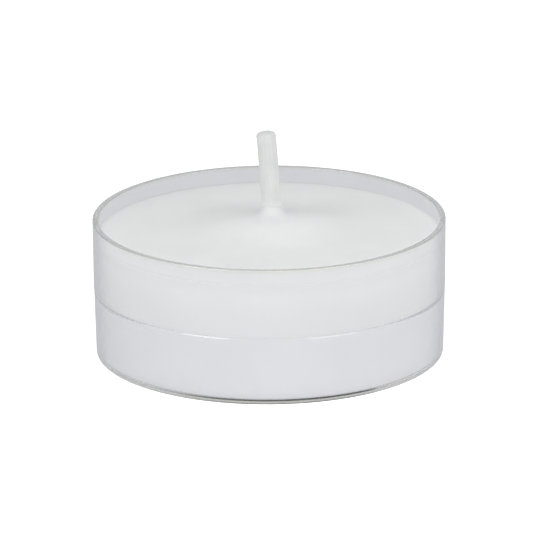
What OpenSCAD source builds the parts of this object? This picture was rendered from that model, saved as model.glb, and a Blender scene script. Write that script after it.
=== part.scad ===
// Tea light candle: a clear moulded cup, a poured wax filling with a low mound round its wick,
// and a wick that a crimped metal tab holds upright on the cup's floor.
// Millimetres, +Z up, with the origin at the centre of the foot that the cup stands on.

/* [Cup] */
// Diameter of the cup across its rim
cup_d = 38; // [36:0.5:41]
// Height of the cup from its foot to its rim
cup_h = 15; // [14:0.5:20]
// Thickness of the wall at the rim and at the foot
cup_wall = 0.65; // [0.5:0.05:0.9]
// Thickness of the floor
cup_floor = 0.45; // [0.4:0.05:0.8]
// Height of the fine ledge round the outside of the wall
ledge_z = 7.4; // [5:0.1:9]
// How far the wall steps out at the ledge
ledge_out = 0.04; // [0.02:0.01:0.12]
// Height of the ledge's slope
ledge_h = 0.08; // [0.04:0.01:0.2]
// Draft of the outside above the ledge, in degrees
draft_upper = 0.45; // [0.2:0.05:1.5]
// Draft of the outside below the ledge, in degrees
draft_lower = 1.35; // [0.5:0.05:2.5]
// Radius of the rounding on both edges of the rim
rim_round = 0.14; // [0.05:0.01:0.2]
// Outside radius of the corner at the foot
foot_round = 0.3; // [0.2:0.05:0.6]
// Inside radius of the corner at the floor
floor_round = 0.2; // [0.1:0.05:0.5]

/* [Underside] */
// Width of the flat ring that the cup stands on
stand_w = 1.2; // [0.8:0.1:3]
// Depth of the recess inside that ring
recess_h = 0.1; // [0.08:0.01:0.2]
// Diameter of the gate stub that moulding leaves in the recess
gate_d = 1.6; // [1:0.1:2.5]
// Height of the gate stub
gate_h = 0.06; // [0.03:0.01:0.08]

/* [Wax] */
// Drop from the rim to the edge of the wax
wax_drop = 1.75; // [1:0.05:4]
// Rise of the wax from its edge towards the middle, without the mound
crown_h = 0.55; // [0.2:0.05:1]
// Height of the mound round the wick
mound_h = 1.55; // [0.5:0.05:2.5]
// Radius of the mound
mound_r = 9.2; // [6:0.1:14]
// Gap at the wall that the wax leaves as it sets and shrinks
shrink_gap = 0.05; // [0.02:0.01:0.15]
// Height that the wax climbs up the wick
climb_h = 0.6; // [0.2:0.05:1]
// Width of that climbing ring of wax at its foot
climb_w = 0.9; // [0.5:0.05:1.5]

/* [Wick] */
// Diameter of the waxed wick
wick_d = 2.15; // [1.6:0.05:2.6]
// Length of the wick above the wax
wick_free = 9.15; // [6:0.05:14]
// Radius of the gentle curve in which the wick leaves its tab and leans
curve_r = 240; // [150:10:500]
// How far the tab holds the wick from the middle of the cup
wick_off = 0.55; // [0:0.05:1]
// Radius of the rounding on the cut end
tip_round = 0.45; // [0.2:0.05:0.6]
// Number of strands that show round the wick
strands = 12; // [8:1:16]
// Radius of one strand
strand_r = 0.34; // [0.3:0.01:0.5]

/* [Wick tab] */
// Diameter of the tab's disc
tab_d = 12.5; // [10:0.5:15]
// Thickness of the tab's sheet metal
tab_t = 0.25; // [0.15:0.05:0.4]
// Height of the tab from the floor to the top of its neck
neck_h = 4; // [3:0.1:5]
// Radius of the bend from the disc into the neck
neck_bend = 0.4; // [0.2:0.05:0.8]
// Clearance between the neck and the wick, away from the crimps
neck_gap = 0.15; // [0.1:0.01:0.2]
// Number of crimps that pinch the wick
crimps = 4; // [2:1:4]
// Radius of the tool that presses a crimp
crimp_r = 0.8; // [0.5:0.05:1]

/* [Fits] */
// Clearance of the set wax round the wick and the tab
cast_gap = 0.02; // [0.01:0.01:0.05]
// Clearance of a crimp over the wick's strands
pinch_gap = 0.02; // [0.01:0.01:0.05]

/* [Hidden] */
$fn = 120;

// Steps of an arc, and of the wax's curved top from its edge to its middle
arc_steps = 8;
top_steps = 40;
// Overshoot of a cut past the face that it opens
over = 0.5;

// Outside of the cup: its radius at the rim, on both sides of the ledge and at the foot's corner
rim_r = cup_d / 2;
rim_z = cup_h - rim_round;
ledge_top_r = rim_r - (rim_z - ledge_z - ledge_h) * tan(draft_upper);
ledge_low_r = ledge_top_r - ledge_out;
foot_r = ledge_low_r - ledge_z * tan(draft_lower);
foot_arc_r = foot_r + foot_round * tan(draft_lower) - foot_round / cos(draft_lower);

// Inside of the cup: one straight taper from the rim to the foot
in_rim_r = rim_r - cup_wall;
in_foot_r = foot_r - cup_wall;
in_draft = atan((in_rim_r - in_foot_r) / rim_z);
floor_arc_z = cup_floor + floor_round;

// Top of the wax, and how the wick stands in it
wax_edge_z = cup_h - wax_drop;
wax_edge_r = in_r(wax_edge_z) - shrink_gap;
apex_z = wax_edge_z + crown_h + mound_h;
wick_r = wick_d / 2;
curve_z = cup_floor + neck_h;
curve_angle = asin((apex_z + wick_free - curve_z) / curve_r);

// Bar that trims the wick's tip: its radius past the strands, and the angle past its side at which
// the tip's rounding starts, so that it meets every strand at an angle
trim_r = wick_r + wick_d;
trim_start = 10;

// Ring of wax that climbs the wick: thickness of its top, radius of its foot and depth of that foot
// below the middle of the wax, so that the mound buries it all round
climb_t = 0.12;
climb_foot_r = wick_r + climb_t + climb_w;
climb_dip = apex_z - wax_top(climb_foot_r + wick_off);

// Neck of the wick tab, and the crimps half way up it
neck_in_r = wick_r + neck_gap;
neck_out_r = neck_in_r + tab_t;
crimp_z = (tab_t + neck_bend + neck_h) / 2;
crimp_axis_r = wick_r + pinch_gap + tab_t + crimp_r;

// Inner radius of the cup at height z
function in_r(z) = in_foot_r + (in_rim_r - in_foot_r) * z / rim_z;

// Place of the wick's axis at height z, on the curve
function wick_x(z) = wick_off - curve_r + sqrt(pow(curve_r, 2) - pow(z - curve_z, 2));

// Height of the wax at radius r: a shallow crown, with a round mound in its middle
function wax_top(r) = wax_edge_z + crown_h * (1 - pow(r / wax_edge_r, 2)) + mound(r);
function mound(r) = r < mound_r ? mound_h * (1 + cos(180 * r / mound_r)) / 2 : 0;

// Points of an arc about (x, y), from angle a to angle b
function arc(x, y, r, a, b) = [for (i = [0:arc_steps])
    let (t = a + (b - a) * i / arc_steps) [x + r * cos(t), y + r * sin(t)]];

// The rounded corner between the cup's wall and floor, moved in from the wall by gap
function floor_corner(gap, a, b) =
    arc(in_r(floor_arc_z) - floor_round / cos(in_draft) - gap, floor_arc_z, floor_round, a, b);

// Half section of the cup, from the middle of its underside round the wall to its floor
module cup_section() {
    polygon(concat(
        [[0, recess_h], [foot_arc_r - stand_w - recess_h, recess_h], [foot_arc_r - stand_w, 0]],
        arc(foot_arc_r, foot_round, foot_round, -90, -draft_lower),
        [[ledge_low_r, ledge_z], [ledge_top_r, ledge_z + ledge_h]],
        arc(rim_r - rim_round, rim_z, rim_round, 0, 90),
        arc(in_rim_r + rim_round, rim_z, rim_round, 90, 180),
        floor_corner(0, -in_draft, -90),
        [[0, cup_floor]]
    ));
}

// Clear cup, moulded in one piece through the gate in its underside
module cup() {
    color([0.86, 0.86, 0.92, 0.5]) {
        rotate_extrude()
            cup_section();
        translate([0, 0, recess_h - gate_h])
            cylinder(d = gate_d, h = gate_h + (cup_floor - recess_h) / 2);
    }
}

// Half section of the wax, from the middle of the floor up the wall and back along its top
module wax_section() {
    polygon(concat(
        [[0, cup_floor]],
        floor_corner(shrink_gap, -90, -in_draft),
        [for (i = [0:top_steps])
            let (r = wax_edge_r * (1 - i / top_steps)) [r, wax_top(r)]]
    ));
}

// Ring of wax that climbs the wick in a quarter ellipse, where the wick comes out of the mound
module climb() {
    translate([wick_x(apex_z), 0, apex_z])
        rotate_extrude()
            polygon(concat(
                [[0, -climb_dip - over], [climb_foot_r, -climb_dip - over]],
                [for (p = arc(0, 0, 1, -90, -180))
                    [climb_foot_r + climb_w * p[0], climb_h + (climb_h + climb_dip) * p[1]]],
                [[0, climb_h]]
            ));
}

// Wax, poured round the wick and its tab
module wax() {
    color([0.95, 0.96, 0.95])
        difference() {
            union() {
                rotate_extrude()
                    wax_section();
                climb();
            }
            along_curve()
                circle(r = wick_r + cast_gap);
            tab_pocket();
        }
}

// Sweeps its children's outline from the top of the tab's neck along the wick's curve, towards -X
module along_curve() {
    translate([wick_off - curve_r, 0, curve_z])
        rotate([90, 0, 0])
            rotate_extrude(angle = curve_angle)
                translate([curve_r, 0])
                    children();
}

// Cross-section of the wick: strands laid side by side round a core
module wick_outline() {
    circle(r = wick_r - strand_r);
    for (i = [0:strands - 1])
        rotate(360 * i / strands)
            translate([wick_r - strand_r, 0])
                circle(r = strand_r);
}

// A tapered round bar with a rounded end, which lies along the wick's tip and trims it
module tip_trim() {
    translate([wick_off - curve_r, 0, curve_z])
        rotate([0, -curve_angle, 0])
            translate([curve_r, 0, 0])
                rotate_extrude()
                    polygon(concat(
                        [[0, -curve_r], [trim_r, -curve_r], [trim_r, -tip_round - wick_d]],
                        arc(wick_r - tip_round, -tip_round, tip_round, trim_start, 90),
                        [[0, 0]]
                    ));
}

// Waxed wick: upright in the tab's neck, then one gentle curve up to its rounded end
module wick() {
    color([0.93, 0.94, 0.93]) {
        translate([wick_off, 0, curve_z])
            mirror([0, 0, 1])
                linear_extrude(neck_h)
                    wick_outline();
        intersection() {
            along_curve()
                wick_outline();
            tip_trim();
        }
    }
}

// Puts its children on the cup's floor, on the wick's axis
module on_floor() {
    translate([wick_off, 0, cup_floor])
        children();
}

// The hollow that the tab leaves in the wax
module tab_pocket() {
    on_floor()
        rotate_extrude()
            polygon(concat(
                [[0, -over], [tab_d / 2 + cast_gap, -over], [tab_d / 2 + cast_gap, tab_t + cast_gap]],
                arc(neck_out_r + neck_bend, tab_t + neck_bend, neck_bend - cast_gap, -90, -180),
                [[neck_out_r + cast_gap, neck_h + cast_gap], [0, neck_h + cast_gap]]
            ));
}

// Balls that press the crimps, grown by the thickness that they push ahead of them
module crimp_balls(grow) {
    for (i = [0:crimps - 1])
        rotate(360 * i / crimps)
            translate([crimp_axis_r, 0, crimp_z])
                sphere(r = crimp_r + grow);
}

// Sheet metal tab: a disc drawn up into a neck, which is crimped on the wick
module wick_tab() {
    color([0.75, 0.76, 0.78])
        on_floor()
            difference() {
                union() {
                    rotate_extrude()
                        polygon(concat(
                            [[tab_d / 2, 0], [tab_d / 2, tab_t]],
                            arc(neck_out_r + neck_bend, tab_t + neck_bend, neck_bend, -90, -180),
                            [[neck_out_r, neck_h], [neck_in_r, neck_h]],
                            arc(neck_out_r + neck_bend, tab_t + neck_bend, neck_bend + tab_t, -180, -90)
                        ));
                    intersection() {
                        crimp_balls(tab_t);
                        cylinder(r = neck_out_r, h = neck_h);
                    }
                }
                crimp_balls(0);
            }
}

cup();
wax();
wick();
wick_tab();
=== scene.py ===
# %% [markdown]
# Tea light candle in a clear cup.
#
# The candle is four pieces: a clear moulded cup, the wax poured into it, a waxed wick and the small
# metal tab that holds the wick upright. The CAD model fixes the places and the main sizes. This script
# gives each piece the finer shape and the finish that the real one shows, one step at a time.
#
# First the imported CAD model is loaded as a fixed frame, and its box is kept.

# %% Load the imported candle
import math
import bpy
import numpy as np
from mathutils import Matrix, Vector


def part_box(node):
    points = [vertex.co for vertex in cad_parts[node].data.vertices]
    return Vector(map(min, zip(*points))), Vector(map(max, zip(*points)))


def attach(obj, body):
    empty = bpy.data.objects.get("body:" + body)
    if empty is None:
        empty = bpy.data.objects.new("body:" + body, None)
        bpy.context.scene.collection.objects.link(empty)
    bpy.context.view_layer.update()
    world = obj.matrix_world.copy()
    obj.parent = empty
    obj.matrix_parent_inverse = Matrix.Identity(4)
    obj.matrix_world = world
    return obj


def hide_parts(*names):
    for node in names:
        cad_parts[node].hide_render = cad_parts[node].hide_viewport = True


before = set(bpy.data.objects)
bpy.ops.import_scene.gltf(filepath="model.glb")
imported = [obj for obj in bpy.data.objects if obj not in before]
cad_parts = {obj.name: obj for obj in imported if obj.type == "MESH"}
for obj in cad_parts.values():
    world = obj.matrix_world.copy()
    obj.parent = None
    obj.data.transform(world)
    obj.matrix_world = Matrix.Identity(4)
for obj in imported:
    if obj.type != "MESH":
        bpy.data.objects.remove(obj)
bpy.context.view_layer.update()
print("CAD nodes:", sorted(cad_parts))

# %% [markdown]
# Every size of the candle is in millimetres, as on a drawing, and is turned into Blender's metres only
# where a mesh or a material needs it. Sizes that can be measured on the CAD nodes are read from their
# boxes. The others are the values of the CAD source. Only the wax's crown and mound have values of their
# own, which add up to the same height, because the soft shading on the real candle asks for them.

# %% Sizes
MM = 0.001


def node_box(node):
    """Lowest and highest corner of a CAD node, in millimetres."""
    low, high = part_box(node)
    return np.array(low) / MM, np.array(high) / MM


_, cup_high = node_box("cup")
_, wick_high = node_box("wick")
tab_low, tab_high = node_box("wick_tab")

# Cup: radius at the rim, height, wall and floor, the ledge, the two drafts in degrees, the roundings,
# and the underside with its standing ring, recess and gate stub
rim_r = cup_high[0]
cup_h = cup_high[2]
cup_wall, cup_floor = 0.65, tab_low[2]
ledge_z, ledge_h, ledge_out = 7.4, 0.08, 0.04
draft_upper, draft_lower = 0.45, 1.35
rim_round, foot_round, floor_round = 0.14, 0.3, 0.2
stand_w, recess_h, gate_r, gate_h = 1.2, 0.1, 0.8, 0.06

# Wax: drop from the rim to its edge, rise of the crown, height and radius of the mound, the gap that
# shrinking leaves at the wall, and how far the wax climbs the wick
wax_drop, crown_h, mound_h, mound_r = 1.75, 0.67, 1.43, 10.2
shrink_gap, climb_h = 0.05, 0.6

# Wick: radius, strands, and the curve that starts at the top of the tab's neck. Tab: radius, sheet,
# neck and the bend at its foot, and the gaps between it, the wick and the wax
wick_r, strands, strand_r, tip_round = 1.075, 12, 0.34, 0.45
curve_r, wick_off, wick_free = 240.0, 0.55, 9.15
tab_r = (tab_high[0] - tab_low[0]) / 2
tab_t, neck_h, neck_bend, neck_gap, cast_gap = 0.25, tab_high[2] - tab_low[2], 0.4, 0.15, 0.02
neck_out_r = wick_r + neck_gap + tab_t
print(f"cup {2 * rim_r:.2f} mm across, {cup_h:.2f} mm high; wick up to {wick_high[2]:.2f} mm")

# %% [markdown]
# The cup's outside has two drafts, as moulds have, so that the part slips out: a slight one above the
# ledge and a stronger one below it. A few lines of trigonometry give the radii that follow, and the
# height at which the wax and the wick meet. A rounding in a corner is an arc, so its centre's radius
# is worked out too, and serves both the cup's floor and the wax that lies in it.

# %% Sizes that follow
def tan(degrees):
    """Tangent of an angle in degrees: how far a sloping wall runs sideways for each millimetre up."""
    return math.tan(math.radians(degrees))


def cos(degrees):
    """Cosine of an angle in degrees."""
    return math.cos(math.radians(degrees))


rim_z = cup_h - rim_round
ledge_top_r = rim_r - (rim_z - ledge_z - ledge_h) * tan(draft_upper)
ledge_low_r = ledge_top_r - ledge_out
foot_r = ledge_low_r - ledge_z * tan(draft_lower)
foot_arc_r = foot_r + foot_round * tan(draft_lower) - foot_round / cos(draft_lower)
in_rim_r, in_foot_r = rim_r - cup_wall, foot_r - cup_wall
in_draft = math.degrees(math.atan((in_rim_r - in_foot_r) / rim_z))


def inner_radius(z):
    """Radius of the cup's inside at height z: a straight taper from foot to rim."""
    return in_foot_r + (in_rim_r - in_foot_r) * z / rim_z


def wick_x(z):
    """Place of the wick's axis at height z: straight up in the neck, then on a circle whose centre lies
    curve_r towards -X. There x is the root of curve_r squared less the rise squared, less curve_r."""
    rise = np.maximum(np.asarray(z, float) - curve_z, 0)
    return wick_off - curve_r + np.sqrt(curve_r ** 2 - rise ** 2)


floor_arc_z = cup_floor + floor_round
floor_arc_r = inner_radius(floor_arc_z) - floor_round / cos(in_draft)
wax_edge_z = cup_h - wax_drop
wax_edge_r = inner_radius(wax_edge_z) - shrink_gap
apex_z = wax_edge_z + crown_h + mound_h
curve_z = cup_floor + neck_h
curve_angle = math.asin((apex_z + wick_free - curve_z) / curve_r)
print(f"wax edge {wax_edge_z:.2f} mm, top {apex_z:.2f} mm")
print(f"the wick leans {math.degrees(curve_angle):.1f} degrees")

# %% [markdown]
# The cup, the wax and the wick are all round, so each one can be drawn as a stack of rings. Blender's
# Spin tool or a Screw modifier would turn an outline too, but only round one straight axis. Here the
# rings are worked out as one numpy array of points, which also allows rings that shift sideways with
# the leaning wick. One helper joins the rings with four-sided faces, closes the ends, and lays a UV map
# with U round the piece and V along the rings.

# %% Helpers for outlines and rings
def arc(x, y, radius, start, stop, steps):
    """Points on a circle: its centre plus radius times the cosine and sine of evenly spaced angles."""
    turn = np.radians(np.linspace(start, stop, steps + 1))
    return np.stack([x + radius * np.cos(turn), y + radius * np.sin(turn)], 1)


def fill_in(outline, beside=0.03, longest=0.6):
    """Adds points to an outline's straight parts: one close beside each end, which keeps the smooth
    shading of a rounding off the flat next to it, and others at most longest apart. The new points are
    found by their distance along the outline."""
    step = np.hypot(*np.diff(outline, axis=0).T)
    along = np.concatenate([[0], np.cumsum(step)])
    straight = step > 4 * beside
    near = np.concatenate([along[:-1][straight] + beside, along[1:][straight] - beside])
    even = np.arange(0, along[-1], longest)
    part = np.searchsorted(along, even, side="right") - 1
    clear = np.minimum(even - along[part], along[part + 1] - even) > 2 * beside
    at = np.unique(np.concatenate([along, near, even[straight[part] & clear]]))
    return np.stack([np.interp(at, along, outline[:, 0]), np.interp(at, along, outline[:, 1])], 1)


def turned(outline, count):
    """Rings of a turned piece: each outline point (r, z) at angle a gives (r cos a, r sin a, z)."""
    a = 2 * np.pi * np.arange(count) / count
    r, z = outline[:, :1], outline[:, 1:]
    return np.stack([r * np.cos(a), r * np.sin(a), z + 0 * a], -1)


def ring_mesh(name, rings, start=None, end=None, closed=False):
    """A piece made of rings[i, j], in millimetres. Face (i, j) joins points j and j + 1 of ring i to the
    same two of ring i + 1. start and end are single points that close the first and the last ring with
    a fan, and closed joins the last ring to the first."""
    m, n, _ = rings.shape
    i = np.arange(m if closed else m - 1)[:, None]
    j = np.arange(n)[None, :]
    k = (j + 1) % n
    quads = np.stack([i * n + j, i * n + k, (i + 1) % m * n + k, (i + 1) % m * n + j], -1).reshape(-1, 4)
    u = np.stack([j + 0 * i, j + 1 + 0 * i, j + 1 + 0 * i, j + 0 * i], -1).reshape(-1) / n
    v = np.stack([i + 0 * j, i + 0 * j, i + 1 + 0 * j, i + 1 + 0 * j], -1).reshape(-1) / m
    points, faces, uv = [rings.reshape(-1, 3)], quads.tolist(), [np.stack([u, v], 1)]
    j, k = j[0], k[0]
    if start is not None:
        pole = sum(len(p) for p in points)
        points.append(np.array([start], float))
        faces += np.stack([pole + 0 * j, k, j], -1).tolist()
        uv.append(np.stack([(j + 0.5) / n, 0 * j, (j + 1) / n, 0 * j, j / n, 0 * j], 1).reshape(-1, 2))
    if end is not None:
        pole = sum(len(p) for p in points)
        points.append(np.array([end], float))
        last = (m - 1) * n
        faces += np.stack([last + j, last + k, pole + 0 * j], -1).tolist()
        one = 1 + 0 * j
        uv.append(np.stack([j / n, one, (j + 1) / n, one, (j + 0.5) / n, one], 1).reshape(-1, 2))
    mesh = bpy.data.meshes.new(name)
    mesh.from_pydata((np.concatenate(points) * MM).tolist(), [], faces)
    mesh.polygons.foreach_set("use_smooth", np.ones(len(mesh.polygons), bool))
    mesh.uv_layers.new(name="UVMap").data.foreach_set("uv", np.concatenate(uv).ravel())
    mesh.update()
    piece = bpy.data.objects.new(name, mesh)
    bpy.context.scene.collection.objects.link(piece)
    print(f"{name}: {len(mesh.vertices)} points, {len(mesh.polygons)} faces")
    return piece


# %% [markdown]
# Where the two drafts meet, the wall has a fine ledge. On the CAD model it is a plain step of a few
# hundredths of a millimetre. The real one shows a bright glint over a dark line, so here the last
# 0.4 mm of the lower wall turn inwards by 0.16 mm and end in a hair-fine groove. An outline of arcs
# gives each rounding its own radius, where a Bevel modifier would have one width for all.

# %% Ledge
# Radii of its wide and its small rounding, and the angles in degrees at which they end. Groove: how far
# in the centre of its rounding lies, the rise up to there, and its radius. Then the lip's rounding
wide_round, small_round = 0.6, 0.05
wide_end, small_end = 38, 82
groove_in, groove_rise, groove_round, lip_round = 0.02, 0.003, 0.015, 0.03


def ledge_outline():
    """Outside of the wall across the ledge, from below, as circular arcs. The lower wall turns inwards
    on a wide one and then on a small one, which is moved to start where the wide one ends. Both are
    moved so that they start at the lower wall's radius and end at the ledge's height, in the almost
    level bottom of a groove. The groove's upper side slopes out again to the upper wall."""
    wide = arc(0, 0, wide_round, -draft_lower, wide_end, 12)
    small = arc(0, 0, small_round, wide_end, small_end, 6)
    edge = np.concatenate([wide, small[1:] + wide[-1] - small[0]])
    edge += np.array([ledge_low_r, ledge_z]) - (edge[0, 0], edge[-1, 1])
    return np.concatenate([
        edge,
        [edge[-1] + (-groove_in, groove_rise)],
        edge[-1] + arc(-groove_in, groove_rise + groove_round, groove_round, 260, 120, 6),
        arc(ledge_top_r - lip_round, ledge_z + ledge_h + lip_round, lip_round, -60, 0, 5),
    ])


ledge = ledge_outline()
print(f"ledge: {len(ledge)} points between {ledge[0, 1]:.2f} and {ledge[-1, 1]:.2f} mm")

# %% [markdown]
# The cup is one injection-moulded piece of clear plastic. Its look comes from its edges: light bends
# and turns back inside the rounded rim, the ledge and the rounded foot, so those need real roundings,
# not bevelled corners. The whole outline is drawn from the middle of the underside, round the foot, up
# the wall, over the rim and down the inside to the middle of the floor. The underside has the shallow
# recess and the little gate stub through which the plastic was shot into the mould.

# %% Cup
# Gate stub: the roundings of its edge and of the corner beside it. Floor: the ring round its middle
gate_round, gate_corner, middle_r = 0.03, 0.02, 0.6
cup_outline = np.concatenate([
    [[gate_r - 4 * gate_round, recess_h - gate_h]],
    arc(gate_r - gate_round, recess_h - gate_h + gate_round, gate_round, -90, 0, 4),
    arc(gate_r + gate_corner, recess_h - gate_corner, gate_corner, 180, 90, 4),
    [[foot_arc_r - stand_w - recess_h, recess_h], [foot_arc_r - stand_w, 0]],
    arc(foot_arc_r, foot_round, foot_round, -90, -draft_lower, 20),
    ledge,
    arc(rim_r - rim_round, rim_z, rim_round, 0, 90, 12),
    arc(in_rim_r + rim_round, rim_z, rim_round, 90, 180, 12),
    arc(floor_arc_r, floor_arc_z, floor_round, -in_draft, -90, 16),
    [[middle_r, cup_floor]],
])
clear_cup = ring_mesh("clear_cup", turned(fill_in(cup_outline), count=384),
                      start=(0, 0, recess_h - gate_h), end=(0, 0, cup_floor))

# %% [markdown]
# The wax was poured hot, and shrank as it set. It pulled a hair's breadth away from the cup, sank
# towards the wall and kept a low mound round the wick, which it also climbs a little. Sculpting such a
# shape by hand would work, but a height that is written as a sum of simple curves can follow the
# measured one closely. The rings start round at the wall and slide over to the leaning wick, so that
# the climbing edge fits the wick all round.

# %% Height of the wax
# Climb on the wick, as shares of climb_h: its mean, how much more it is on one side and less on the
# other, and its ripples; then the angle that turns that side to the front, and its reach
climb_mean, climb_side, climb_ripple = 1.3, 0.55, 0.08
climb_turn, climb_reach = 1.7, 0.3

# Edge at the wall: its rounding, the angle at which that ends, and the dip beside it, with the reach
# of the dip and of the rise out of it. The crown falls with this power of the radius
edge_soft, edge_end = 0.03, 75
edge_dip, dip_reach, rise_reach = 0.05, 1.5, 0.3
crown_power = 3

# Waves as height, wavelength and seed; the radius at which they start to fade, and over how much
swells = ((0.022, 6.5, 3), (0.006, 1.9, 4))
calm_from, calm_over = 15, 3

# Crease behind the mound: its depth, radius, sway and width, and the angle of its deepest place
crease_h, crease_r, crease_sway, crease_w, crease_turn = 0.03, 6.1, 0.3, 0.16, 50

wick_foot_x = float(wick_x(apex_z))
body_top = wax_edge_z - edge_soft * (1 - math.sin(math.radians(edge_end)))
edge_height = wax_edge_z + crown_h * (1 - (1 - edge_soft / wax_edge_r) ** crown_power)


def strand_radius(angle):
    """Radius of the wick in a direction: the outer edge of the strand that lies nearest to it. For a
    strand of radius s whose centre is c away, at angle d from the direction, the edge is at
    c cos d + the root of s squared less c squared times sin d squared."""
    apart = 2 * np.pi / strands
    d = (angle + apart / 2) % apart - apart / 2
    c = wick_r - strand_r
    return c * np.cos(d) + np.sqrt(strand_r ** 2 - (c * np.sin(d)) ** 2)


def waves(x, y, wavelength, seed):
    """Gentle unevenness between about -1 and 1: five sine waves that run in seeded directions, added up
    and divided by their number's root."""
    chance = np.random.default_rng(seed)
    heading, shift = chance.uniform(0, 2 * np.pi, (2, 5))
    length = wavelength * chance.uniform(0.7, 1.5, 5)
    run = x[..., None] * np.cos(heading) + y[..., None] * np.sin(heading)
    return np.sin(2 * np.pi * run / length + shift).sum(-1) / math.sqrt(5)


def wax_height(x, y):
    """Height of the wax at (x, y): a crown that falls with the cube of the radius, a mound of half a
    cosine wave, a curve that climbs the wick, highest at the front, and dies away exponentially with
    the distance from it, a slight dip that rises again to the wall, gentle waves, and a faint crease
    round the mound's back, whose section is a bell curve."""
    r = np.hypot(x, y)
    crown = crown_h * (1 - (r / wax_edge_r) ** crown_power)
    mound = np.where(r < mound_r, mound_h * (1 + np.cos(np.pi * r / mound_r)) / 2, 0)
    to_wick = np.maximum(np.hypot(x - wick_foot_x, y) - wick_r, 0)
    turn = np.arctan2(y, x - wick_foot_x)
    share = climb_mean + climb_side * np.cos(turn + climb_turn) + climb_ripple * np.sin(5 * turn)
    climb = climb_h * share * np.exp(-to_wick / climb_reach)
    inwards = wax_edge_r - 0.8 * edge_soft - r
    rise = (body_top - edge_height + edge_dip) * np.exp(-inwards / rise_reach)
    dip = edge_dip * np.exp(-inwards / dip_reach)
    inside = 1 - np.clip((r - calm_from) / calm_over, 0, 1)
    uneven = inside * sum(high * waves(x, y, wavelength, seed) for high, wavelength, seed in swells)
    turn = np.arctan2(y, x)
    behind = np.clip(0.5 + 0.5 * np.cos(turn - np.radians(crease_turn)), 0, 1) ** 3
    off_crease = r - crease_r - crease_sway * np.sin(3 * turn)
    crease = -crease_h * behind * np.exp(-(off_crease / crease_w) ** 2)
    return wax_edge_z + crown + mound + climb + (rise - dip) + uneven + crease


print(f"wax between {float(wax_height(np.array(15.0), np.array(0.0))):.2f} mm near the wall and "
      f"{float(wax_height(np.array(0.0), np.array(-3.0))):.2f} mm in front of the wick")

# %% [markdown]
# Under the wax, its skin sticks to the cup's floor beside the metal tab and has let go further out.
# Its outline goes up the wall with the cup's own taper, flares out by a hair at the top edge, runs in
# over the top, and goes down along the wick into the pocket that the tab fills. One closed stack of
# rings makes all of it, where a Boolean modifier would cut the pocket but leave ragged faces.

# %% Wax
around = 2 * np.pi * np.arange(240) / 240


def round_rings(radius, z, centre_x):
    """Flat rings: ring i has radius[i], height z[i] and its centre at centre_x[i]."""
    radius, z, centre_x = (np.broadcast_to(v, np.shape(radius))[:, None] for v in (radius, z, centre_x))
    return np.stack([centre_x + radius * np.cos(around), radius * np.sin(around), z + 0 * around], -1)


# Under the wax and up the wall: from the edge of the tab's pocket to the top edge. The skin is pressed
# into the floor by stuck, so that no light gets between, and lifted off it further out
pocket_r = tab_r + cast_gap
stuck_r, stuck, lifted = pocket_r + 0.6, 0.012, 0.03
flare_h, flare_out = 0.6, 0.04
body = fill_in(np.concatenate([
    [[pocket_r, cup_floor - stuck], [stuck_r, cup_floor - stuck], [stuck_r + 1, cup_floor + lifted]],
    arc(floor_arc_r - shrink_gap, floor_arc_z, floor_round - lifted, -90, -in_draft, 8),
    [[wax_edge_r, wax_edge_z - flare_h], [wax_edge_r + flare_out, wax_edge_z - edge_soft]],
    arc(wax_edge_r + flare_out - edge_soft, wax_edge_z - edge_soft, edge_soft, 0, edge_end, 8),
]), longest=0.8)
slide = wick_off * np.clip((stuck_r - body[:, 0]) / (stuck_r - pocket_r), 0, 1)
body_rings = round_rings(body[:, 0], body[:, 1], slide)

# Top: t runs from 0 at the wall to 1 at the wick, in finer steps from fine_from on, and the rings slide
# from round to the wick's outline. They end sunk into the wick, so that no gap shows beside it
fine_from, top_in, sunk = 0.93, 0.03, 0.06
t = np.concatenate([np.linspace(0, fine_from, 92),
                    fine_from + (1 - fine_from) * np.linspace(0, 1, 23)[1:] ** 0.8])[:, None]
edge = body[-1, 0] - top_in
inner = strand_radius(around) - sunk
reach = edge + (inner - edge) * t
x = wick_foot_x * t + reach * np.cos(around)
y = reach * np.sin(around)
top_rings = np.stack([x, y, wax_height(x, y)], -1)

# Bore: down along the wick, then the pocket that the tab's neck and disc fill
bore_down = 0.2
bore_z = np.linspace(apex_z - bore_down, curve_z + cast_gap, 14)
bore_rings = round_rings(np.full(len(bore_z), wick_r + cast_gap), bore_z, wick_x(bore_z))
pocket = np.concatenate([
    [[neck_out_r + cast_gap, curve_z + cast_gap]],
    arc(neck_out_r + neck_bend, cup_floor + tab_t + neck_bend, neck_bend - cast_gap, -180, -90, 6),
    [[pocket_r, cup_floor + tab_t + cast_gap]],
])
pocket_rings = round_rings(pocket[:, 0], pocket[:, 1], np.full(len(pocket), wick_off))
wax_rings = np.concatenate([body_rings, top_rings, bore_rings, pocket_rings])
white_wax = ring_mesh("white_wax", wax_rings, closed=True)
print(f"wax's middle stands {top_rings[-1, :, 2].mean() - wax_edge_z:.2f} mm above its edge")

# %% [markdown]
# The wick is braided cotton that was stiffened in wax before it was cut, so it is a round bar with soft
# lengthwise strands and a blunt rounded end. It could be twelve curves with a round bevel, but waxed
# strands melt into each other, so the wick is one skin whose outline has twelve low lobes. The outline
# is carried along the wick's axis: straight up through the tab's neck, then on the gentle curve.

# %% Wick
def along_axis(height):
    """Point and lean of the wick's axis at a distance along it, measured from the tab's neck. Below 0 it
    is straight; above, the distance divided by curve_r is the angle on the circle."""
    lean = np.maximum(height, 0) / curve_r
    x = wick_off - curve_r + curve_r * np.cos(lean)
    z = curve_z + np.where(height > 0, curve_r * np.sin(lean), height)
    return x, z, lean


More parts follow.
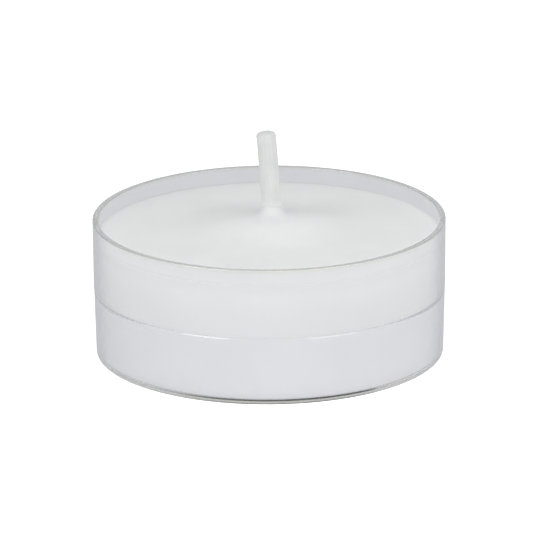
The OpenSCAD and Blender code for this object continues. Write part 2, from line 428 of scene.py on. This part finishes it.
# Along the axis: the lower end with its edge, the shaft, the rounding of the tip between two angles,
# and the cut's rings. The wick ends short of its CAD node by a hair, to stay inside its box
around_wick = 2 * np.pi * np.arange(288) / 288
short, low_edge, low_in, shaft_from, cut_in, cut_low = 0.003, 0.03, 0.05, 0.3, 0.02, 0.004
tip_from, tip_to = 4, 84
length = curve_r * curve_angle - short
tip = arc(wick_r - tip_round, length - tip_round, tip_round, tip_from, tip_to, 12)
cut_r = np.array([0.55, 0.42, 0.28, 0.14])
low = np.array([-neck_h, -neck_h + low_edge])
shaft = np.linspace(-neck_h + shaft_from, length - tip_round - cut_in, 110)
height = np.concatenate([low, shaft, tip[:, 1], length - cut_low + 0 * cut_r])[:, None]
limit = np.concatenate([[wick_r - low_in], np.full(len(shaft) + 1, wick_r), tip[:, 0], cut_r])[:, None]

# Round the axis: the lobes at a share of their full depth, with a slow unevenness. That is read off
# the waves on a circle of swell_r, which moves on by swell_run for each millimetre of height
lobe_share, swell_h, swell_r, swell_run = 0.4, 0.02, 8, 2.2
soft = wick_r + (strand_radius(around_wick) - wick_r) * lobe_share
swell = swell_h * waves(swell_r * np.cos(around_wick) + 0 * height,
                        swell_r * np.sin(around_wick) + swell_run * height, wavelength=9.0, seed=8)
radius = np.minimum(soft + swell - swell_h, limit)
radius = np.where(height < length - cut_in, radius, limit + 0 * radius)
x, z, lean = along_axis(height)
wick_rings = np.stack([x + radius * np.cos(around_wick) * np.cos(lean),
                       radius * np.sin(around_wick) + 0 * z,
                       z + radius * np.cos(around_wick) * np.sin(lean)], -1)
x, z, lean = along_axis(np.array(length))
cotton_wick = ring_mesh("cotton_wick", wick_rings, start=(wick_off, 0, curve_z - neck_h),
                        end=(float(x), 0, float(z)))
print(f"wick ends at {wick_rings[..., 2].max():.2f} mm; the CAD node's at {wick_high[2]:.2f} mm")

# %% [markdown]
# Each new piece stands for its CAD node, which is hidden, and moves with the candle's one body. The wick's
# tab keeps its CAD shape, which is exact, and only gets a better finish.

# %% Pieces in place of the CAD nodes
for piece, node, slot in ((clear_cup, "cup", "clear_cup"), (white_wax, "wax", "white_wax"),
                          (cotton_wick, "wick", "waxed_cotton")):
    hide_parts(node)
    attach(piece, "root")

# %% [markdown]
# Materials are built from nodes. A few small helpers keep the cells readable: they put a node into a
# tree and set or link its inputs, mix two colours, and start a node group or a material.
#
# Two effects are used by more than one material, so each is a node group with named inputs. The first
# is a soft cloudiness, as in wax that set unevenly, and the second is the very fine scuffing that all
# handled plastic and metal has.

# %% Helpers for nodes
def add(tree, kind, inputs=None, **options):
    """Adds a node. Options are its own settings; an input is given a value, or is linked when it is
    another node's output."""
    node = tree.nodes.new(kind)
    for name, value in options.items():
        setattr(node, name, value)
    for name, value in (inputs or {}).items():
        if isinstance(value, bpy.types.NodeSocket):
            tree.links.new(value, node.inputs[name])
        else:
            node.inputs[name].default_value = value
    return node


def two_colours(tree, factor, first, second):
    """Mixes two colours by a factor and returns the result's socket."""
    mix = add(tree, "ShaderNodeMix", {0: factor}, data_type="RGBA")
    for place, colour in ((6, first), (7, second)):
        if isinstance(colour, bpy.types.NodeSocket):
            tree.links.new(colour, mix.inputs[place])
        else:
            mix.inputs[place].default_value = (*colour, 1)
    return mix.outputs[2]


def new_group(name, inputs, outputs):
    """Starts a node group with number inputs and outputs, and returns it with its two end nodes."""
    group = bpy.data.node_groups.new(name, "ShaderNodeTree")
    for socket, kind, value in inputs:
        made = group.interface.new_socket(name=socket, in_out="INPUT", socket_type=kind)
        if value is not None:
            made.default_value = value
    for socket, kind in outputs:
        group.interface.new_socket(name=socket, in_out="OUTPUT", socket_type=kind)
    return group, add(group, "NodeGroupInput"), add(group, "NodeGroupOutput")


def new_material(name):
    """An empty material, its node tree, a Principled shader linked to the output, and that output."""
    material = bpy.data.materials.new(name)
    material.use_nodes = True
    tree = material.node_tree
    tree.nodes.clear()
    output = add(tree, "ShaderNodeOutputMaterial")
    shader = add(tree, "ShaderNodeBsdfPrincipled")
    tree.links.new(shader.outputs["BSDF"], output.inputs["Surface"])
    return material, tree, shader, output


# %% Shared effects: clouds and scuffs
clouds, start, stop = new_group(
    "Clouds",
    [("Vector", "NodeSocketVector", None), ("Size", "NodeSocketFloat", 4.0),
     ("Contrast", "NodeSocketFloat", 1.0)],
    [("Value", "NodeSocketFloat")])
scale = add(clouds, "ShaderNodeMath", {0: 1000.0, 1: start.outputs["Size"]}, operation="DIVIDE")
noise = add(clouds, "ShaderNodeTexNoise", {"Vector": start.outputs["Vector"], "Scale": scale.outputs[0],
                                           "Detail": 4.0, "Roughness": 0.55, "Distortion": 0.4})
centred = add(clouds, "ShaderNodeMath", {0: noise.outputs[0], 1: 0.5}, operation="SUBTRACT")
gained = add(clouds, "ShaderNodeMath", {0: centred.outputs[0], 1: start.outputs["Contrast"], 2: 0.5},
             operation="MULTIPLY_ADD", use_clamp=True)
clouds.links.new(gained.outputs[0], stop.inputs["Value"])

scuffs, start, stop = new_group(
    "Fine scuffs",
    [("Vector", "NodeSocketVector", None), ("Size", "NodeSocketFloat", 0.5),
     ("Amount", "NodeSocketFloat", 0.5)],
    [("Height", "NodeSocketFloat"), ("Mask", "NodeSocketFloat")])
scale = add(scuffs, "ShaderNodeMath", {0: 1000.0, 1: start.outputs["Size"]}, operation="DIVIDE")
noise = add(scuffs, "ShaderNodeTexNoise", {"Vector": start.outputs["Vector"], "Scale": scale.outputs[0],
                                           "Detail": 6.0, "Roughness": 0.65, "Distortion": 1.5})
lines = add(scuffs, "ShaderNodeMapRange", {0: noise.outputs[0], 1: 0.46, 2: 0.54, 3: 1.0, 4: 0.0})
patch = add(scuffs, "ShaderNodeTexNoise", {"Vector": start.outputs["Vector"], "Scale": 180.0,
                                           "Detail": 2.0})
mask = add(scuffs, "ShaderNodeMath", {0: patch.outputs[0], 1: start.outputs["Amount"]},
           operation="MULTIPLY")
depth = add(scuffs, "ShaderNodeMath", {0: lines.outputs[0], 1: mask.outputs[0]}, operation="MULTIPLY")
scuffs.links.new(depth.outputs[0], stop.inputs["Height"])
scuffs.links.new(mask.outputs[0], stop.inputs["Mask"])
print("groups:", clouds.name, "and", scuffs.name)

# %% [markdown]
# Clear plastic of this kind bends light a little more than glass does. Its tint shows most where light
# travels far inside it, so the rim and the foot look olive. The wall under the ledge is tinted a little
# darker and more lilac than the wall over it, which is almost clear. A Color Ramp along the cup's height
# places these tints, because a surface shader can't know how far a ray has run through the plastic. The
# real cup shows no dust and almost no wear, so its roughness varies only a little.
#
# Light that goes through glass to reach what is inside is slow to work out by chance. So rays that
# spread from the wax, and shadow rays from it to the lamps, pass straight through, dimmed by a tint,
# and all others are bent as they should be.

# %% Clear plastic
edge_tint = (0.926, 0.924, 0.86)
lower_tint, upper_tint = (0.968, 0.963, 0.985), (0.985, 0.985, 0.993)
lamp_tint, bending = (0.955, 0.955, 0.962), 1.58

# Height and tint of each mark: the foot, the wall under the ledge, the wall over it, and the rim
tint_marks = ((0, edge_tint), (0.3, edge_tint), (0.6, lower_tint),
              (ledge_z - 1, lower_tint), (ledge_z + 1, upper_tint),
              (rim_z - 0.3, upper_tint), (rim_z, edge_tint))
plastic, tree, shader, output = new_material("Clear lilac plastic")
place = add(tree, "ShaderNodeTexCoord").outputs["Object"]
scuffed = add(tree, "ShaderNodeGroup", node_tree=scuffs)
tree.links.new(place, scuffed.inputs["Vector"])
scuffed.inputs["Size"].default_value = 1.2
scuffed.inputs["Amount"].default_value = 0.5
rough = add(tree, "ShaderNodeMapRange", {0: scuffed.outputs["Mask"], 1: 0.1, 2: 0.45, 3: 0.07, 4: 0.12})
height = add(tree, "ShaderNodeSeparateXYZ", {0: place}).outputs["Z"]
part = add(tree, "ShaderNodeMath", {0: height, 1: cup_h * MM}, operation="DIVIDE")
tints = add(tree, "ShaderNodeValToRGB", {0: part.outputs[0]})
while len(tints.color_ramp.elements) < len(tint_marks):
    tints.color_ramp.elements.new(1)
for mark, (z, colour) in zip(tints.color_ramp.elements, tint_marks):
    mark.position, mark.color = z / cup_h, (*colour, 1)
tree.links.new(tints.outputs[0], shader.inputs["Base Color"])
shader.inputs["Transmission Weight"].default_value = 1.0
shader.inputs["IOR"].default_value = bending
tree.links.new(rough.outputs[0], shader.inputs["Roughness"])
paths = add(tree, "ShaderNodeLightPath")
passing = add(tree, "ShaderNodeBsdfTransparent", {"Color": (*lamp_tint, 1)})
bent = add(tree, "ShaderNodeMixShader", {0: paths.outputs["Is Diffuse Ray"], 1: shader.outputs[0],
                                         2: passing.outputs[0]})
both = add(tree, "ShaderNodeMixShader", {0: paths.outputs["Is Shadow Ray"], 1: bent.outputs[0],
                                         2: passing.outputs[0]})
tree.links.new(both.outputs[0], output.inputs["Surface"])
clear_cup.data.materials.append(plastic)
print(f"{plastic.name}: {len(tint_marks)} tint marks along {cup_h:.0f} mm")

# %% [markdown]
# Paraffin wax is white because light scatters inside it, which softens every edge. Subsurface in the
# Principled shader does that, with a reach of a few millimetres. The cooled surface has a dull gloss
# and a very fine unevenness. Against the cup it is faintly cloudy, in patches of a few millimetres,
# because it has let go of the plastic only in places.
#
# Two places differ. Beside the wick the wax is whiter, partly its own colour and partly painted light that
# lifts the shade at the wick's foot, and less of the light scatters inside it, or the dark inside of the
# bore would shine through. At the wall the top edge has painted shade, greyer first over a soft band and
# then along a fine line: without it, the cup would gather the light there into a bright ring.

# %% Wax finish
# The wax beside the wick is whiter: partly its own colour, partly painted light that lifts the shade at the
# wick's foot
wax_grey, wax_white, wick_white_and_lift = (0.81, 0.825, 0.822), (0.85, 0.862, 0.86), (0.884, 0.893, 0.888)
# Greys of the painted shade at the wax's top edge by the wall: a soft band, then a fine line
edge_shade_grey, line_shade_grey = (0.745, 0.76, 0.757), (0.728, 0.742, 0.739)

# How far the whiter wax reaches from the wick, and the share of light that scatters inside it there
near_wick, shallow = 1.6, 0.25

# How far the painted shade's soft band and its fine line reach in from the wall and down from the edge, and
# how far under the edge they are at their full strength
shade_in, shade_down, line_shade_in, line_shade_down, edge_up = 0.5, 1.5, 0.2, 0.15, 0.05
wax, tree, shader, output = new_material("White paraffin wax")
place = add(tree, "ShaderNodeTexCoord").outputs["Object"]
cloudy = add(tree, "ShaderNodeGroup", node_tree=clouds)
tree.links.new(place, cloudy.inputs["Vector"])
cloudy.inputs["Size"].default_value = 5.0
cloudy.inputs["Contrast"].default_value = 1.6
colour = two_colours(tree, cloudy.outputs["Value"], wax_grey, wax_white)


def from_upright(tree, place, x):
    """Distance of a place from the upright line at x: its offset, flattened, and then its length."""
    offset = add(tree, "ShaderNodeVectorMath", {0: place, 1: (-x * MM, 0, 0)})
    flat = add(tree, "ShaderNodeVectorMath", {0: offset.outputs[0], 1: (1, 1, 0)}, operation="MULTIPLY")
    return add(tree, "ShaderNodeVectorMath", {0: flat.outputs[0]}, operation="LENGTH").outputs["Value"]


# Whiter wax beside the wick, partly painted light that lifts the shade gathering at the wick's foot
beside = from_upright(tree, place, wick_foot_x)
away = add(tree, "ShaderNodeMapRange", {0: beside, 1: (wick_r + 0.1) * MM,
                                        2: (wick_r + near_wick) * MM})
colour = two_colours(tree, away.outputs[0], wick_white_and_lift, colour)
outwards = from_upright(tree, place, 0)
height = add(tree, "ShaderNodeSeparateXYZ", {0: place}).outputs["Z"]
# Painted shade at the top edge against the wall: first a soft band, then a fine line
for grey, inwards, down in ((edge_shade_grey, shade_in, shade_down), (line_shade_grey, line_shade_in, line_shade_down)):
    at_wall = add(tree, "ShaderNodeMapRange", {0: outwards, 1: (wax_edge_r - inwards) * MM,
                                               2: wax_edge_r * MM})
    at_edge = add(tree, "ShaderNodeMapRange", {0: height, 1: (wax_edge_z - down) * MM,
                                               2: (wax_edge_z - edge_up) * MM})
    both = add(tree, "ShaderNodeMath", {0: at_wall.outputs[0], 1: at_edge.outputs[0]},
               operation="MULTIPLY")
    colour = two_colours(tree, both.outputs[0], colour, grey)
depth = add(tree, "ShaderNodeMapRange", {0: away.outputs[0], 3: shallow, 4: 1.0})
tree.links.new(colour, shader.inputs["Base Color"])
shader.inputs["Roughness"].default_value = 0.55
shader.inputs["Specular IOR Level"].default_value = 0.35
tree.links.new(depth.outputs[0], shader.inputs["Subsurface Weight"])
shader.inputs["Subsurface Radius"].default_value = (1.0, 0.95, 0.9)
shader.inputs["Subsurface Scale"].default_value = 0.004
grain = add(tree, "ShaderNodeTexNoise", {"Vector": place, "Scale": 2500.0, "Detail": 3.0})
bump = add(tree, "ShaderNodeBump", {"Strength": 0.12, "Distance": 0.00004, "Height": grain.outputs[0]})
tree.links.new(bump.outputs[0], shader.inputs["Normal"])
white_wax.data.materials.append(wax)
print(f"{wax.name}: greyer over the outer {shade_in} mm, whiter within {near_wick} mm of the wick")

# %% [markdown]
# The wick's cotton shows through its coat of wax as faint lines along it. They follow the wick's own UV
# map, with U round it and V along it, so that they bend with it. Just over the wax its coat is thicker and
# whiter, and that paler colour is also painted light that lifts the shade at the wick's foot. At the tip
# the rounded edge catches more light than the sides, yet doesn't look brighter on the real wick, so its
# colour is a little darker there and paler again on the cut.

# %% Waxed cotton
cotton_grey, cotton_white = (0.663, 0.674, 0.667), (0.742, 0.751, 0.742)
# coat_white_and_lift: the thicker wax coat over the wax, and painted light that lifts the shade at the
# wick's foot
coat_white_and_lift, tip_grey, cut_white = (0.757, 0.767, 0.759), (0.655, 0.662, 0.66), (0.73, 0.736, 0.733)
coat_z, coat_fade = apex_z + 1.15, 0.6
cotton, tree, shader, output = new_material("Waxed cotton")
uv = add(tree, "ShaderNodeUVMap", uv_map="UVMap").outputs["UV"]
place = add(tree, "ShaderNodeTexCoord").outputs["Object"]
stretched = add(tree, "ShaderNodeMapping", {"Vector": uv, "Scale": (60.0, 7.0, 1.0)})
fibres = add(tree, "ShaderNodeTexNoise", {"Vector": stretched.outputs[0], "Scale": 1.0, "Detail": 5.0,
                                          "Roughness": 0.6, "Distortion": 0.3})
cloudy = add(tree, "ShaderNodeGroup", node_tree=clouds)
tree.links.new(place, cloudy.inputs["Vector"])
cloudy.inputs["Size"].default_value = 1.6
shade = add(tree, "ShaderNodeMath", {0: fibres.outputs[0], 1: cloudy.outputs["Value"]},
            operation="MULTIPLY")
shade = add(tree, "ShaderNodeMapRange", {0: shade.outputs[0], 1: 0.1, 2: 0.45})
colour = two_colours(tree, shade.outputs[0], cotton_grey, cotton_white)
height = add(tree, "ShaderNodeSeparateXYZ", {0: place}).outputs["Z"]
bare = add(tree, "ShaderNodeMapRange", {0: height, 1: coat_z * MM, 2: (coat_z + coat_fade) * MM})
colour = two_colours(tree, bare.outputs[0], coat_white_and_lift, colour)
along = add(tree, "ShaderNodeSeparateXYZ", {0: uv}).outputs["Y"]
for white, first, last in ((tip_grey, 0.86, 0.89), (cut_white, 0.93, 0.965)):
    reached = add(tree, "ShaderNodeMapRange", {0: along, 1: first, 2: last})
    colour = two_colours(tree, reached.outputs[0], colour, white)
tree.links.new(colour, shader.inputs["Base Color"])
shader.inputs["Roughness"].default_value = 0.55
shader.inputs["Subsurface Weight"].default_value = 0.5
shader.inputs["Subsurface Radius"].default_value = (1.0, 0.95, 0.9)
shader.inputs["Subsurface Scale"].default_value = 0.001
bump = add(tree, "ShaderNodeBump", {"Strength": 0.25, "Distance": 0.0001, "Height": fibres.outputs[0]})
tree.links.new(bump.outputs[0], shader.inputs["Normal"])
cotton_wick.data.materials.append(cotton)
print(f"{cotton.name}: {strands} strands, whiter up to {coat_z + coat_fade:.1f} mm")

# %% [markdown]
# The tab is stamped from thin tinned sheet steel. Wax hides it, but it shows once the candle has burnt
# down, so it has its own finish: a grey metal with the long fine lines that rolling leaves.

# %% Tinned steel
steel, tree, shader, output = new_material("Tinned sheet steel")
place = add(tree, "ShaderNodeTexCoord").outputs["Object"]
rolled = add(tree, "ShaderNodeMapping", {"Vector": place, "Scale": (300.0, 9000.0, 3000.0)})
lines = add(tree, "ShaderNodeTexNoise", {"Vector": rolled.outputs[0], "Scale": 1.0, "Detail": 4.0})
scuffed = add(tree, "ShaderNodeGroup", node_tree=scuffs)
tree.links.new(place, scuffed.inputs["Vector"])
scuffed.inputs["Size"].default_value = 0.8
scuffed.inputs["Amount"].default_value = 0.8
colour = two_colours(tree, scuffed.outputs["Mask"], (0.76, 0.76, 0.765), (0.84, 0.84, 0.845))
rough = add(tree, "ShaderNodeMapRange", {0: lines.outputs[0], 1: 0.3, 2: 0.7, 3: 0.28, 4: 0.42})
both = add(tree, "ShaderNodeMath", {0: lines.outputs[0], 1: scuffed.outputs["Height"]}, operation="ADD")
bump = add(tree, "ShaderNodeBump", {"Strength": 0.2, "Distance": 0.00002, "Height": both.outputs[0]})
tree.links.new(colour, shader.inputs["Base Color"])
tree.links.new(rough.outputs[0], shader.inputs["Roughness"])
tree.links.new(bump.outputs[0], shader.inputs["Normal"])
shader.inputs["Metallic"].default_value = 1.0
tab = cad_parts["wick_tab"]
tab.data.materials.clear()
tab.data.materials.append(steel)
print("materials:", plastic.name, wax.name, cotton.name, steel.name)

# %% [markdown]
# The photograph is a product picture on pure white, yet clear plastic in it looks pale lilac grey, not
# white: it shows the dim sweep of paper behind and under it. So the surroundings have three faces. Rays
# from the camera see white. Rays that mirror in the cup or pass through it see the pale grey sweep.
# Rays that carry light to the object see a plain studio that is brighter in front, and brighter to the
# right and the left than in between. Its brightness is a sum of simple terms: one that falls with Y,
# and X times a line in X.

# %% Surroundings
sweep_grey = (0.627, 0.634, 0.662)
level, front_gain, side_gain, right_gain = 0.555, -0.22, 0.42, 0.22


def seen_by_cup(tree, paths):
    """1 for rays that mirror in the cup or pass through it, 0 for others: the larger of two flags."""
    return add(tree, "ShaderNodeMath", {0: paths.outputs["Is Glossy Ray"],
                                        1: paths.outputs["Is Transmission Ray"]},
               operation="MAXIMUM").outputs[0]


world = bpy.data.worlds.new("White studio")
bpy.context.scene.world = world
world.use_nodes = True
tree = world.node_tree
tree.nodes.clear()
paths = add(tree, "ShaderNodeLightPath")
seen = seen_by_cup(tree, paths)
facing = add(tree, "ShaderNodeSeparateXYZ", {0: add(tree, "ShaderNodeTexCoord").outputs["Generated"]})
front = add(tree, "ShaderNodeMath", {0: facing.outputs["Y"], 1: front_gain, 2: level},
            operation="MULTIPLY_ADD")
sides = add(tree, "ShaderNodeMath", {0: facing.outputs["X"], 1: side_gain, 2: right_gain},
            operation="MULTIPLY_ADD")
light = add(tree, "ShaderNodeMath", {0: facing.outputs["X"], 1: sides.outputs[0], 2: front.outputs[0]},
            operation="MULTIPLY_ADD").outputs[0]
light = add(tree, "ShaderNodeCombineColor", {0: light, 1: light, 2: light})
colour = two_colours(tree, seen, light.outputs[0], sweep_grey)
colour = two_colours(tree, paths.outputs["Is Camera Ray"], colour, (1, 1, 1))
surround = add(tree, "ShaderNodeBackground", {"Color": colour, "Strength": 1.0})
tree.links.new(surround.outputs[0], add(tree, "ShaderNodeOutputWorld").inputs["Surface"])
print(f"{world.name}: {level - front_gain:.2f} in front, {level + front_gain:.2f} behind")

# %% [markdown]
# The floor is a sheet of paper that has the same three faces. To the camera it is white, with a little
# of its own shading. Seen through the cup it is the grey sweep, slightly darker where the candle keeps
# the light off it. To the rays that light the candle it is a dull grey that glows evenly, as a real
# sheet would under lamps that stand all round it.

# %% Floor
paper_grey, paper_glow, seen_grey, seen_glow = 0.22, 0.46, 0.6, 0.8
dim_from, dim_to, dimmest = 0.018, 0.048, 0.9
floor_mesh = bpy.data.meshes.new("studio_floor")
reach = 3.0
floor_mesh.from_pydata([(-reach, -reach, 0), (reach, -reach, 0), (reach, reach, 0), (-reach, reach, 0)], [],
                       [(0, 1, 2, 3)])
floor = bpy.data.objects.new("studio_floor", floor_mesh)
bpy.context.scene.collection.objects.link(floor)
paper, tree, shader, output = new_material("Studio paper")
shader.inputs["Base Color"].default_value = (paper_grey, paper_grey, paper_grey, 1)
shader.inputs["Emission Color"].default_value = (1, 1, 1, 1)
shader.inputs["Emission Strength"].default_value = paper_glow
shader.inputs["Roughness"].default_value = 0.9
shader.inputs["Specular IOR Level"].default_value = 0.0
paths = add(tree, "ShaderNodeLightPath")
white = add(tree, "ShaderNodeEmission", {"Color": (1, 1, 1, 1), "Strength": seen_glow})
lit = add(tree, "ShaderNodeBsdfDiffuse", {"Color": (seen_grey, seen_grey, seen_grey, 1)})
bright = add(tree, "ShaderNodeAddShader", {0: white.outputs[0], 1: lit.outputs[0]})
seen = seen_by_cup(tree, paths)
place = add(tree, "ShaderNodeTexCoord").outputs["Object"]
apart = add(tree, "ShaderNodeVectorMath", {0: place}, operation="LENGTH").outputs["Value"]
shadow = add(tree, "ShaderNodeMapRange", {0: apart, 1: dim_from, 2: dim_to, 3: dimmest, 4: 1.0})
even = add(tree, "ShaderNodeEmission", {"Color": (*sweep_grey, 1), "Strength": shadow.outputs[0]})
unseen = add(tree, "ShaderNodeMixShader", {0: seen, 1: shader.outputs[0], 2: even.outputs[0]})
either = add(tree, "ShaderNodeMixShader", {0: paths.outputs["Is Camera Ray"], 1: unseen.outputs[0],
                                           2: bright.outputs[0]})
tree.links.new(either.outputs[0], output.inputs["Surface"])
floor_mesh.materials.append(paper)
print(f"{paper.name}: {2 * reach:.0f} m wide, dimmed within {dim_to * 1000:.0f} mm of the candle's middle")

# %% [markdown]
# Two large soft lamps stand to the left and right in front, as in a product studio, the right one
# weaker. They shape the mound of wax and put the small bright glints on the ledge. An area lamp aims
# along its own -Z, so its rotation is worked out from the direction to the candle.

# %% Lamps
from mathutils import Matrix, Vector

aim = Vector((0, 0, 0.012))


def soft_lamp(name, azimuth, elevation, distance, size, power):
    """A square area lamp that faces the candle: azimuth in degrees to the right of the camera's side,
    elevation above the floor, distance and size in metres. Its place is the distance times the sine
    and cosine of the azimuth, each times the cosine of the elevation, and up by its sine."""
    a, e = math.radians(azimuth), math.radians(elevation)
    data = bpy.data.lights.new(name, "AREA")
    data.size, data.energy = size, power
    lamp = bpy.data.objects.new(name, data)
    bpy.context.scene.collection.objects.link(lamp)
    heading = Vector((math.sin(a) * math.cos(e), -math.cos(a) * math.cos(e), math.sin(e)))
    lamp.location = aim + distance * heading
    lamp.rotation_euler = (aim - lamp.location).to_track_quat("-Z", "Y").to_euler()
    print(f"{name}: {power} W from {distance} m")


soft_lamp("left_softbox", -46, 30, 0.8, 0.4, 1.9)
soft_lamp("right_softbox", 43, 28, 0.8, 0.44, 1.25)

# %% [markdown]
# The camera was worked out from the photograph: the rim's and the foot's curves give its height above
# the candle, and their sizes its distance and lens. It stands 0.82 m away, looks down by 17.8 degrees
# with a long lens, and is rolled by 0.4 degrees. Its three axes are worked out as vectors, because a
# Track To constraint can't roll.

# %% Camera
picture_pixels, focal_pixels = 533, 7567.2
distance, elevation, roll = 0.81526, math.radians(17.825), math.radians(-0.408)
target = Vector((-0.00031, 0, 0.00939))
ahead = Vector((0, math.cos(elevation), -math.sin(elevation)))
sideways, upright = Vector((1, 0, 0)), Vector((0, math.sin(elevation), math.cos(elevation)))
right = math.cos(roll) * sideways + math.sin(roll) * upright
up = math.cos(roll) * upright - math.sin(roll) * sideways
lens = bpy.data.cameras.new("photo_camera")
lens.sensor_width, lens.lens = 36.0, focal_pixels * 36.0 / picture_pixels
camera = bpy.data.objects.new("photo_camera", lens)
bpy.context.scene.collection.objects.link(camera)
turn = Matrix((right, up, -ahead)).transposed().to_4x4()
camera.matrix_world = Matrix.Translation(target - distance * ahead) @ turn
bpy.context.scene.camera = camera
print(f"lens {lens.lens:.0f} mm at {distance:.3f} m")

# %% [markdown]
# Two settings of the scene matter to the look. The Standard view keeps white paper white, which the
# usual film-like view would turn grey. And light goes to and fro many times between the faces of the
# rim and the foot, so rays may bounce more often than usual: with few bounces, black knots stay there.

# %% Colours and bounces
bpy.context.scene.view_settings.view_transform = "Standard"
cycles = bpy.context.scene.cycles
cycles.max_bounces, cycles.glossy_bounces, cycles.transmission_bounces = 48, 32, 48
print("bounces:", cycles.max_bounces)

# %% Finish
bpy.context.view_layer.update()
